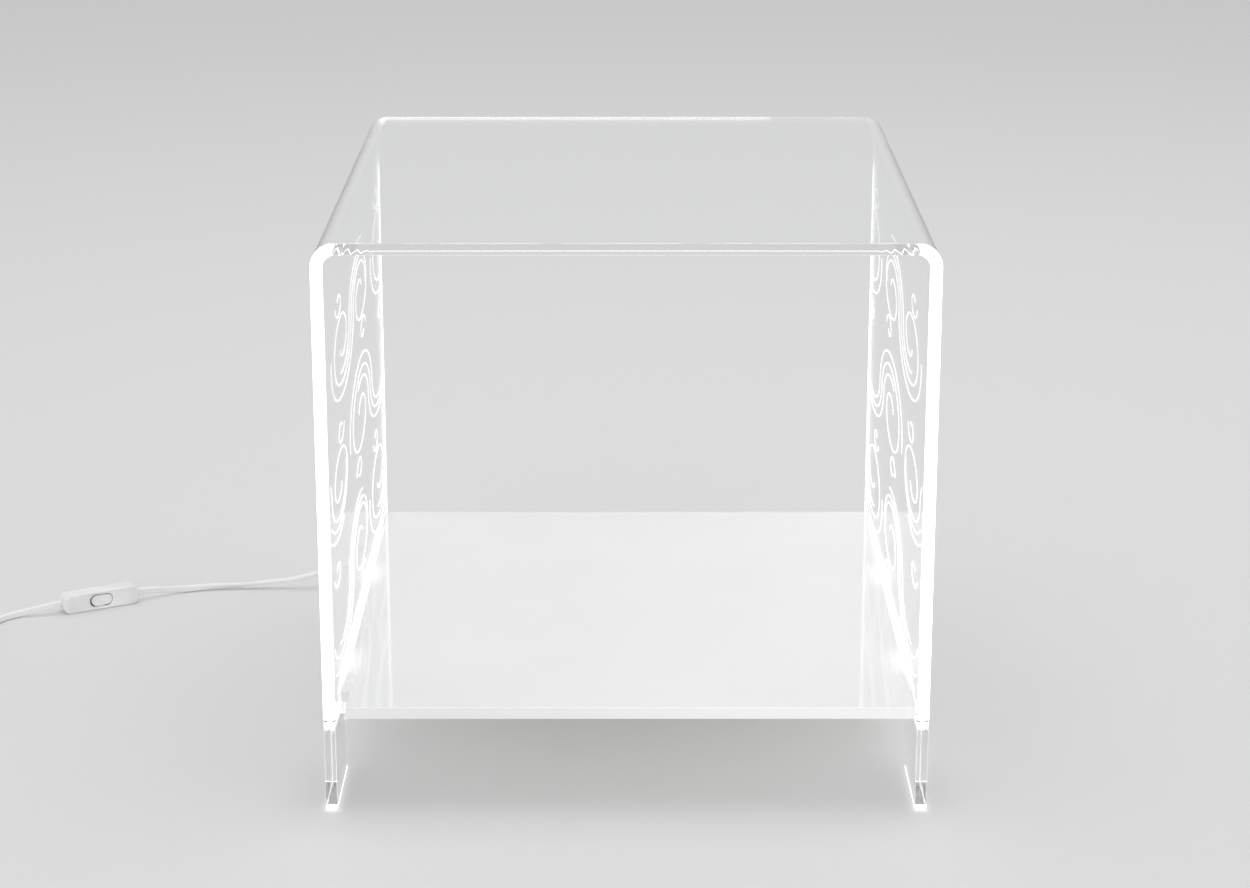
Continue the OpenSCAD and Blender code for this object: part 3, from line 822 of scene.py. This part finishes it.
def curl_pattern():
    """Rows of S-scrolls. Each has a line on either side of it, and small hooks in its two hollows."""
    curls = []
    for row, z in enumerate(CURL_ROWS):
        hand = 1 if row % 2 else -1
        for column in (-1, 0, 1):
            size = CURL_SIZE * (1 + 0.09 * math.sin(2.4 * column + 1.9 * row))
            y = column * 0.318 + 0.159 * (row % 2) - 0.085 + 0.022 * row
            curls.append(scroll((y, z), size, hand, 1.42, 0.8))
            curls.append(scroll((y, z), size, hand, 0.52, 0.13, CURL_GAP))
            curls.append(scroll((y, z), size, hand, 0.30, 0.16, -CURL_GAP))
            for end in (-1, 1):
                hollow = (y + end * LEAN * size * 1.25, z + end * hand * size * 1.0)
                curls.append(volute(hollow, 0.0095, (-end, -hand * end), 0.9, 0.62))
    return [c for c in map(inside_field, curls) if len(c) > 5]


curl_lines = curl_pattern()
print(len(curl_lines), "curls a side")

# %% Cut the curls


def glowing_cut():
    """A cut is frosted and lit from inside the sheet, brighter near the tape and a little uneven."""
    made = Finish("glowing_cut", (0.55, 0.55, 0.56), roughness=0.45)
    z = made.axes()[2]
    uneven = made.noise(60, 2).between(0.25, 0.75)
    level = z.between(FIELD_HIGH + 0.06, FIELD_LOW)
    glow = uneven * 0.35 + level * 0.5
    made.shine(glow, (0.5, 0.5, 0.53), (0.95, 0.95, 0.95), 1.0)
    return made.material


GLOWING_CUT = glowing_cut()


def make_curls(side):
    low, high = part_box("hood")
    face = high.x - SHEET if side == "right" else low.x + SHEET
    way = -1 if side == "right" else 1
    outline = [(-CURL_WIDTH / 2, way * CURL_SKIN), (-CURL_WIDTH * 0.32, way * CURL_PROUD),
               (CURL_WIDTH * 0.32, way * CURL_PROUD), (CURL_WIDTH / 2, way * CURL_SKIN)]
    curls = [sweep([Vector((face, y, z)) for y, z in line], outline, Vector((1, 0, 0)))
             for line in curl_lines]
    bm = merge(bmesh.new(), *curls)
    return finish_piece(bm, f"{side}_engraved_curls", GLOWING_CUT)


for side in SIDES:
    make_curls(side)

# %% [markdown]
# ## Foam, tape and chips
# The tape is a white flexible strip stuck on a foam bed, with a chip every 16.5 mm. Lit chips are the
# brightest thing on the object. Their CAD shapes are right, so only their finish changes. The front end
# of each tape has two solder joints, which are small domes.

# %% Tape finishes


def assign(material, *nodes):
    """Gives a CAD node a finish."""
    for node in nodes:
        shown = bpy.data.objects[node]
        shown.data.materials.clear()
        shown.data.materials.append(material)
    print(material.name, "on", ", ".join(nodes))


def lit(name, base, glow, strength, roughness=0.5, grain=300):
    """A surface that is lit from so close that it shines itself."""
    made = Finish(name, base, roughness=roughness)
    uneven = made.noise(grain, 2).between(0.3, 0.7)
    made.shine(uneven, shade(glow, 0.6), glow, strength)
    return made.material


assign(lit("white_foam", (0.85, 0.85, 0.84), (1, 1, 1), 0.55, 0.85, 900), "left_tape_bed", "right_tape_bed")
assign(lit("tape_white", (0.86, 0.86, 0.85), (1, 1, 1), 1.2, 0.5), "left_light_tape", "right_light_tape")
assign(lit("chip_light", (0.9, 0.86, 0.6), (1, 0.99, 0.94), 5.0, 0.4), "left_light_chips",
       "right_light_chips")

# %% Solder joints


def solder_joint_finish():
    made = Finish("solder_joint", (0.35, 0.2, 0.16), metallic=0.55, roughness=0.35)
    flux = made.noise(900, 3).between(0.4, 0.65)
    made.colour(flux, (0.55, 0.42, 0.38), (0.28, 0.13, 0.09))
    return made.material


SOLDER_JOINT = solder_joint_finish()
JOINT_SIZE = 0.0015


def make_solder_joints(side):
    low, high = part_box(f"{side}_light_tape")
    bm = bmesh.new()
    for shift in (-0.0026, 0.0026):
        middle = Vector(((low.x + high.x) / 2 + shift, low.y + 0.0012, high.z))
        turn = Matrix.Translation(middle) @ Matrix.Diagonal((JOINT_SIZE, JOINT_SIZE, JOINT_SIZE * 0.8, 1))
        bmesh.ops.create_icosphere(bm, subdivisions=3, radius=1, matrix=turn)
    flat = high.z - JOINT_SIZE * 0.3
    for vert in bm.verts:
        vert.co.z = max(vert.co.z, flat)
    return finish_piece(bm, f"{side}_solder_joints", SOLDER_JOINT)


for side in SIDES:
    make_solder_joints(side)

# %% [markdown]
# ## Finishes for the small parts
# The driver, the switch, the clips and the plug are moulded plastic with brass, steel and nickel in
# them. Most of them are out of sight, but each has a surface of its own.

# %% Finishes for the small parts


def moulded(name, base, roughness, grain=0.00003):
    """Moulded plastic with a fine spark texture and faint flow marks."""
    made = Finish(name, base, specular_ior_level=0.5)
    flow = made.noise(22, 3, (1, 3, 1)).between(0.3, 0.7)
    made.colour(flow, shade(base, 0.88), base)
    made.set("Roughness", made.noise(90, 3) * 0.14 + (roughness - 0.07))
    made.bump(made.noise(1500, 2), grain)
    return made.material


def metal(name, base, roughness):
    """Worked metal: fine lines one way, and a dull film in places."""
    stretch = (1, 1, 8)
    made = Finish(name, base, metallic=1.0)
    film = made.noise(300, 4).between(0.35, 0.75)
    made.colour(film, base, shade(base, 0.7))
    made.set("Roughness", made.noise(700, 2, stretch) * 0.2 + (roughness - 0.1))
    made.bump(made.noise(1600, 2, stretch), 0.00001)
    return made.material


def foam(name, base):
    made = Finish(name, base, roughness=0.9)
    cell = made.add("TexVoronoi", None, {"Vector": made.place(), "Scale": 1400})
    made.colour(cell.between(0.1, 0.5), shade(base, 0.6), base)
    made.bump(cell, 0.0002)
    return made.material


def board_finish():
    made = Finish("circuit_board", (0.05, 0.22, 0.12), roughness=0.35)
    weave = made.add("TexChecker", None, {"Vector": made.place(), "Scale": 900}, out="Fac")
    track = made.noise(160, 0, (1, 0.15, 1)).between(0.49, 0.51)
    made.colour(track * 0.5 + weave * 0.15, (0.03, 0.17, 0.08), (0.10, 0.34, 0.18))
    made.bump(track, 0.00004)
    return made.material


SWITCH_WHITE = moulded("switch_plastic", (0.94, 0.94, 0.94), 0.34)
ROCKER_WHITE = moulded("rocker_plastic", (0.95, 0.95, 0.94), 0.24, 0.00001)
CASE_WHITE = moulded("case_plastic", (0.82, 0.82, 0.81), 0.42)
SCREW_STEEL = metal("screw_steel", (0.62, 0.63, 0.65), 0.3)
assign(foam("black_foam", (0.03, 0.03, 0.03)), "driver_pad")
assign(board_finish(), "driver_board")
COIL_TAPE = moulded("coil_tape", (0.78, 0.62, 0.12), 0.3)
CAPACITOR_BLUE = moulded("capacitor_blue", (0.04, 0.12, 0.35), 0.3)
TERMINAL_GREEN = moulded("terminal_green", (0.05, 0.35, 0.16), 0.4)
assign(SCREW_STEEL, "driver_screws", "switch_screws", "terminal_screws", "rocker_pin")
assign(metal("brass", (0.78, 0.58, 0.28), 0.28), "rocker_contact", "switch_contacts", "switch_terminals")
assign(metal("nickel", (0.76, 0.74, 0.70), 0.2), "plug_pins")
assign(soft_pvc("core_blue", (0.07, 0.2, 0.55)), "through_core")
PLUG_WHITE = moulded("plug_plastic", (0.88, 0.88, 0.87), 0.38)
GRIP_WHITE = moulded("grip_plastic", (0.86, 0.86, 0.85), 0.5)
TIE_BLACK = moulded("tie_black", (0.03, 0.03, 0.03), 0.5)
assign(SWITCH_WHITE, "cord_clamps", "pin_sleeves")

# %% [markdown]
# ## Rounded mouldings
# Moulded plastic has no true edges. The shells below are skins over a stack of rings: each ring is a
# rectangle with round corners, and rings set close together make a fillet. This serves the switch, its
# rocker, the plug and the coil's tie.

# %% Helpers for mouldings
FILLET_STEPS = 5


def plate_ring(length, width, radius, level, steps=8):
    """Points round a plate with round corners, anticlockwise, at one level of its own frame."""
    radius = min(radius, length / 2, width / 2)
    turns = [math.pi / 2 * i / steps for i in range(steps + 1)]
    corner = [(length / 2 - radius + radius * math.cos(a), width / 2 - radius + radius * math.sin(a))
              for a in turns]
    quarters = [corner, [(-x, y) for x, y in reversed(corner)], [(-x, -y) for x, y in corner],
                [(x, -y) for x, y in reversed(corner)]]
    return [Vector((x, y, level)) for quarter in quarters for x, y in quarter]


def fillet(length, width, radius, level, round_by, upward=True):
    """Rings that turn from a plate's upright wall on to its flat face."""
    rings = []
    for i in range(FILLET_STEPS + 1):
        a = math.pi / 2 * i / FILLET_STEPS
        inset = round_by * (1 - math.cos(a))
        rise = round_by * (math.sin(a) - 1) * (1 if upward else -1)
        rings.append(plate_ring(length - 2 * inset, width - 2 * inset, radius - inset, level + rise))
    return rings if upward else rings[::-1]


def skin(rings, frame, closed=False):
    """A mesh over the rings, set in a frame. A closed one joins its last ring to its first."""
    places = [[frame @ p for p in ring] for ring in rings]
    if closed:
        places.append(places[0])
    return tidy_mesh(loft(places, not closed))


def block(frame, low, high, width=0.0):
    """A box in a frame, with its edges rounded if width is given."""
    bm = bmesh.new()
    add_box(bm, low, high)
    if width:
        soften(bm, width)
    bmesh.ops.transform(bm, matrix=frame, verts=bm.verts)
    return bm


def rod(frame, start, end, radius):
    """A round bar in a frame, from one point to another."""
    start, end = Vector(start), Vector(end)
    bm = bmesh.new()
    turn = (end - start).to_track_quat("Z", "Y").to_matrix().to_4x4()
    bmesh.ops.create_cone(bm, cap_ends=True, segments=32, radius1=radius, radius2=radius,
                          depth=(end - start).length,
                          matrix=frame @ Matrix.Translation((start + end) / 2) @ turn)
    return bm


def carve(bm, *cutters):
    """Takes the shapes of the cutters out of a mesh."""
    shapes = [show("carving", to_mesh(shape, "carving")) for shape in (bm, *cutters)]
    for cutter in shapes[1:]:
        step = shapes[0].modifiers.new("carve", "BOOLEAN")
        step.operation = "DIFFERENCE"
        step.solver = "EXACT"
        step.object = cutter
    bpy.context.view_layer.update()
    ready = shapes[0].evaluated_get(bpy.context.evaluated_depsgraph_get())
    made = bmesh.new()
    made.from_mesh(ready.to_mesh())
    ready.to_mesh_clear()
    for shape in shapes:
        mesh = shape.data
        bpy.data.objects.remove(shape)
        bpy.data.meshes.remove(mesh)
    return made


print("moulding helpers ready")

# %% [markdown]
# ## Cord switch
# The switch has a base and a cover that meet half way up its sides, with a hair line between them. The
# rocker sits in an oval well with a shallow dish round it. It is pressed at one end, so it tilts by
# seven degrees. A few small ribs at one end of the cover give the fingers a hold.

# %% Make the switch
SWITCH_L, SWITCH_W, SWITCH_H = 0.062, 0.015, 0.014
SPLIT = 0.0065
WALL = 0.0016
CORNER = 0.006
ROUND_BY = 0.0011
HAIR_LINE = 0.0002
ROCKER_L, ROCKER_W = 0.0172, 0.0084
ROCKER_R = ROCKER_W / 2 - 0.00001
ROCKER_GAP = 0.0008
PIN_Z = 0.009
TILT = math.radians(7)
POST_X, POST_Y, POST_R = 0.0213, 0.0039, 0.0019
DISH = ((0.0024, 0), (0.0022, 0.00006), (0.0018, 0.0004), (0.0014, 0.0007), (0.0010, 0.0008),
        (ROCKER_GAP, 0.00095), (ROCKER_GAP, WALL))
RIBS = (-0.0268, -0.0252, -0.0236, -0.0220)
SWITCH_FRAME = (Matrix.Translation((SWITCH_AT.x, SWITCH_AT.y, SWITCH_W / 2))
                @ Matrix.Rotation(math.radians(28), 4, "Z") @ Matrix.Rotation(math.pi / 2, 4, "X")
                @ Matrix.Translation((0, 0, -SPLIT)))
TILTED = (SWITCH_FRAME @ Matrix.Translation((0, 0, PIN_Z)) @ Matrix.Rotation(TILT, 4, "Y")
          @ Matrix.Translation((0, 0, -PIN_Z)))


def oval(grow, level):
    return plate_ring(ROCKER_L + 2 * grow, ROCKER_W + 2 * grow, ROCKER_W / 2 + grow, level)


def plate(inset, level):
    return plate_ring(SWITCH_L - 2 * inset, SWITCH_W - 2 * inset, CORNER - inset, level)


def cord_holes():
    return [block(SWITCH_FRAME, (x - 0.0064, -0.0028, SPLIT - 0.0017), (x + 0.0064, 0.0028, SPLIT + 0.0017))
            for x in (-SWITCH_L / 2, SWITCH_L / 2)]


def posts(radius, low, high):
    return [rod(SWITCH_FRAME, (s * POST_X, s * POST_Y, low), (s * POST_X, s * POST_Y, high), radius)
            for s in (-1, 1)]


def make_switch_cover():
    rings = [plate(HAIR_LINE, SPLIT), plate(0, SPLIT + HAIR_LINE)]
    rings += fillet(SWITCH_L, SWITCH_W, CORNER, SWITCH_H, ROUND_BY)
    rings += [oval(grow, SWITCH_H - depth) for grow, depth in DISH]
    rings += [plate(WALL, SWITCH_H - WALL), plate(WALL, SPLIT)]
    bm = carve(skin(rings, SWITCH_FRAME, closed=True), *cord_holes())
    lugs = [block(SWITCH_FRAME, (-0.0025, s * 0.00525 - 0.00065, PIN_Z - 0.002),
                  (0.0025, s * 0.00525 + 0.00065, SWITCH_H - WALL + 0.0001)) for s in (-1, 1)]
    ribs = [block(SWITCH_FRAME, (x - 0.00035, -0.0042, SWITCH_H - 0.0004),
                  (x + 0.00035, 0.0042, SWITCH_H + 0.00035), 0.0002) for x in RIBS]
    merge(bm, *lugs, *ribs, *posts(POST_R, SPLIT + 0.0001, SWITCH_H - WALL + 0.0001))
    return finish_piece(bm, "switch_cover_shell", SWITCH_WHITE, ["switch_cover"], smooth=30)


def make_switch_base():
    rings = fillet(SWITCH_L, SWITCH_W, CORNER, 0, ROUND_BY, upward=False)
    rings += [plate(0, SPLIT - HAIR_LINE), plate(HAIR_LINE, SPLIT), plate(WALL, SPLIT), plate(WALL, WALL)]
    heads = posts(0.0021, -0.001, 0.0012)
    bm = carve(skin(rings, SWITCH_FRAME), *cord_holes(), *heads)
    merge(bm, *posts(POST_R, WALL - 0.0001, SPLIT - 0.0001))
    return finish_piece(bm, "switch_base_shell", SWITCH_WHITE, ["switch_base"], smooth=30)


def rocker_top(scale, drop=0.0):
    """A ring on the rocker's dished top, drawn in towards its middle."""
    ring = []
    for p in plate_ring(ROCKER_L, ROCKER_W, ROCKER_R, 0, steps=12):
        x, y = p.x * scale, p.y * scale
        rise = math.tan(TILT) * (math.hypot(x, 0.0008) - 0.0008)
        ring.append(Vector((x, y, SWITCH_H - 0.0008 + rise - drop)))
    return ring


def make_switch_rocker():
    foot = plate_ring(ROCKER_L - 0.002, ROCKER_W, ROCKER_R, 0.0062, steps=12)
    waist = plate_ring(ROCKER_L, ROCKER_W, ROCKER_R, 0.0082, steps=12)
    rings = [foot, waist, rocker_top(1, 0.0005), rocker_top(0.99, 0.00018), rocker_top(0.965, 0.00004)]
    rings += [rocker_top(s) for s in (0.93, 0.8, 0.65, 0.5, 0.35, 0.2, 0.08)]
    pin_hole = rod(TILTED, (0, -0.006, PIN_Z), (0, 0.006, PIN_Z), 0.00106)
    bm = carve(skin(rings, TILTED), pin_hole)
    return finish_piece(bm, "switch_rocker_key", ROCKER_WHITE, ["switch_rocker"], smooth=30, body=ROCKER)


switch_cover = make_switch_cover()
switch_base = make_switch_base()
switch_rocker = make_switch_rocker()

# %% [markdown]
# ## Edges of the driver's parts
# These parts have the right shape in the CAD model but true edges. Each is copied, the flat areas are
# made whole, and its sharp edges are rounded.

# %% Round the edges of plain mouldings


def rounded_copy(node, name, material, width):
    shown = bpy.data.objects[node]
    bm = bmesh.new()
    bm.from_mesh(shown.data)
    bmesh.ops.transform(bm, matrix=shown.matrix_world, verts=bm.verts)
    bmesh.ops.remove_doubles(bm, verts=bm.verts, dist=SAME_PLACE)
    bmesh.ops.dissolve_limit(bm, angle_limit=math.radians(1), verts=bm.verts, edges=bm.edges)
    soften(bm, width, degrees=60)
    return finish_piece(bm, name, material, [node], smooth=35)


for node, name, material, width in (
        ("driver_case", "rounded_driver_case", CASE_WHITE, 0.0004),
        ("driver_cover", "rounded_driver_cover", CASE_WHITE, 0.0003),
        ("driver_terminals", "rounded_terminals", TERMINAL_GREEN, 0.0003),
        ("driver_transformer", "rounded_transformer", COIL_TAPE, 0.0005),
        ("driver_capacitors", "rounded_capacitors", CAPACITOR_BLUE, 0.0006),
        ("lead_clips", "rounded_lead_clips", CASE_WHITE, 0.0004)):
    rounded_copy(node, name, material, width)

# %% [markdown]
# ## Grip, plug and tie
# The grip is a turned shape with ring grooves that let it bend with the cord. The plug is a flat
# two-pin one that tapers to a ribbed sleeve. The coil is held by one soft band.

# %% Make the grip, the plug and the tie
GROOVES = 6
GROOVE = ((0, 0), (0.0006, 0.0003), (0.0006, 0.0012), (0, 0.0015))
TIE_T = 0.0008


def make_cord_grip():
    low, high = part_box("cord_grip")
    neck = (high.x - low.x) / 2 - 0.002
    collar = [(0.0009, -0.0032), (0.0012, -0.0029), (0.0012, -0.0016), (0, -0.0016), (0, 0), (0.0017, 0),
              (0.002, 0.0003), (0.002, 0.0017), (0.0017, 0.002), (0.001, 0.003)]
    profile = [(0.0, -0.0032)] + [(neck + out, along) for out, along in collar]
    for k in range(GROOVES):
        along = 0.0052 + k * 0.003
        here = neck + 0.001 + (0.0036 - neck - 0.001) * (along - 0.003) / 0.021
        profile += [(here - inset, along + step) for inset, step in GROOVE]
    profile += [(0.0036, 0.0237), (0.0033, 0.024), (0.0, 0.024)]
    bm = bmesh.new()
    x, y, z = DRIVER_EXIT
    verts = [bm.verts.new((x + radius, y + along, z)) for radius, along in profile]
    edges = [bm.edges.new(pair) for pair in zip(verts, verts[1:])]
    bmesh.ops.spin(bm, geom=verts + edges, cent=DRIVER_EXIT, axis=(0, 1, 0), dvec=(0, 0, 0),
                   angle=2 * math.pi, steps=40, use_merge=True, use_duplicate=False)
    tidy_mesh(bm)
    at = Matrix.Translation(DRIVER_EXIT)
    bm = carve(bm, block(at, (-0.0028, -0.005, -0.0017), (0.0028, 0.03, 0.0017)))
    return finish_piece(bm, "grooved_cord_grip", GRIP_WHITE, ["cord_grip"], smooth=30)


def make_plug():
    low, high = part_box("plug_body")
    thick = high.z - low.z
    middle = Matrix.Translation(((low.x + high.x) / 2, high.y - 0.022, (low.z + high.z) / 2))
    frame = middle @ Matrix.Rotation(-math.pi / 2, 4, "X")
    body = [(0.0318, 0.0012, 0.0052, -0.036), (0.0326, 0.0003, 0.0056, -0.0357),
            (0.033, 0, 0.0058, -0.0352), (0.0347, 0, 0.006, -0.0275), (0.035, 0, 0.006, -0.026),
            (0.0343, 0, 0.006, -0.0245), (0.0290, 0, 0.006, -0.017), (0.0212, 0, 0.006, -0.008),
            (0.0160, 0.0003, 0.006, -0.002), (0.0136, 0.001, 0.006, 0)]
    rings = [plate_ring(wide, thick - less, radius, along) for wide, less, radius, along in body]
    rings.append(plate_ring(0.0121, 0.0121, 0.00605, 0.0008))
    for k in range(GROOVES):
        along = 0.002 + k * 0.0032
        radius = 0.006 - 0.0021 * along / 0.022
        for inset, step in GROOVE:
            wide = 2 * (radius - inset)
            rings.append(plate_ring(wide, wide, wide / 2, along + step))
    rings += [plate_ring(0.0078, 0.0078, 0.0039, 0.0217), plate_ring(0.0072, 0.0072, 0.0036, 0.022)]
    tail = Matrix.Translation(TAIL_ROUTE[-1])
    slot = block(tail, (-0.0028, -0.002, -0.0017), (0.0028, 0.02, 0.0017))
    bm = carve(skin(rings, frame), slot)
    return finish_piece(bm, "tapered_plug", PLUG_WHITE, ["plug_body"], smooth=30)


def make_tie():
    low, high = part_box("coil_tie")
    size = high - low
    half = size.y / 2
    frame = Matrix.Translation((low + high) / 2) @ Matrix.Rotation(math.pi / 2, 4, "X")
    outline = [(0, 0.002, -half + 0.0002), (0, 0.002, half - 0.0002), (0.0002, 0.0018, half),
               (TIE_T, 0.0012, half), (TIE_T, 0.0012, -half), (0.0002, 0.0018, -half)]
    rings = [plate_ring(size.x - 2 * inset, size.z - 2 * inset, radius, level)
             for inset, radius, level in outline]
    bm = skin(rings, frame, closed=True)
    return finish_piece(bm, "coil_band", TIE_BLACK, ["coil_tie"], smooth=30)


cord_grip = make_cord_grip()
plug_body = make_plug()
coil_tie = make_tie()

# %% [markdown]
# ## Tape leads
# A thin white wire runs from the driver to each tape, held by clips under the shelf. Here each is one
# smooth sweep.

# %% Make the tape leads
LEAD_D = 0.0014
LEAD_STEP = 0.002
LEFT_LEAD = metres([
    (-54, 154, 52), (-39, 154, 52), (-32, 150, 56), (-30, 142, 62.9), (-36, 133, 62.9),
    (-50, 130, 62.9), (-140, 130, 62.9), (-168, 134, 62.9), (-176, 158, 62.9), (-177, 188, 62.9),
    (-182, 199, 62.9), (-188, 206, 61.9), (-191, 211, 62.1), (-195, 213, 62.1)
])
RIGHT_LEAD = metres([
    (-54, 166, 52), (-38, 166, 52), (-28, 168, 59.45), (-17, 172, 62.9), (0, 188, 62.9),
    (16, 194, 62.9), (162, 194, 62.9), (180, 197, 62.9), (188, 205, 61.9), (191, 211, 62.1),
    (195, 213, 62.1)
])


def make_lead(side, route):
    bm = sweep(smooth_line(route, LEAD_STEP), round_outline(LEAD_D))
    return finish_piece(bm, f"{side}_swept_lead", LEAD_WHITE, [f"{side}_tape_lead"], smooth=60)


make_lead("left", LEFT_LEAD)
make_lead("right", RIGHT_LEAD)

# %% [markdown]
# Each cord has a real length and a far end. The part in view lies as it does on a table, and the rest
# is put away as a coil.

round(line_length(supply_line), 3)
round(line_length(plug_line), 3)

# %% [markdown]
# ## Stage and light
# A large pale floor and an even white surround give clear acrylic something calm to show. One big soft
# lamp hangs overhead and behind, and a weaker wide one fills in from the front left.

# %% Stage and light
FLOOR_WIDE = 14.0


def make_floor():
    made = Finish("studio_floor", (0.76, 0.76, 0.76), roughness=0.75, specular_ior_level=0.2)
    bm = bmesh.new()
    bmesh.ops.create_grid(bm, x_segments=1, y_segments=1, size=FLOOR_WIDE / 2)
    mesh = to_mesh(bm, "studio_floor")
    mesh.materials.append(made.material)
    show("studio_floor", mesh)


def area_lamp(name, place, target, size, power):
    data = bpy.data.lights.new(name, "AREA")
    data.shape = "RECTANGLE"
    data.size, data.size_y = size
    data.energy = power
    lamp = show(name, data)
    lamp.location = place
    lamp.rotation_euler = (Vector(target) - Vector(place)).to_track_quat("-Z", "Y").to_euler()


def make_world(strength):
    world = bpy.data.worlds.new("studio")
    world.use_nodes = True
    sockets = world.node_tree.nodes["Background"].inputs
    sockets["Color"].default_value = (1.0, 1.0, 1.0, 1)
    sockets["Strength"].default_value = strength
    bpy.context.scene.world = world


make_floor()
area_lamp("overhead", (0.25, 0.5, 2.6), (0.1, 0, 0), (3.0, 3.0), 22)
area_lamp("front_fill", (-0.9, -2.7, 1.0), (-0.3, 0, 0), (2.4, 1.4), 13)
make_world(0.70)

scene = bpy.context.scene
scene.view_settings.view_transform = "Standard"
scene.cycles.use_denoising = True
scene.cycles.max_bounces = 32
scene.cycles.transmission_bounces = 28
scene.cycles.transparent_max_bounces = 24
scene.cycles.glossy_bounces = 12
scene.cycles.diffuse_bounces = 4
print("stage ready")
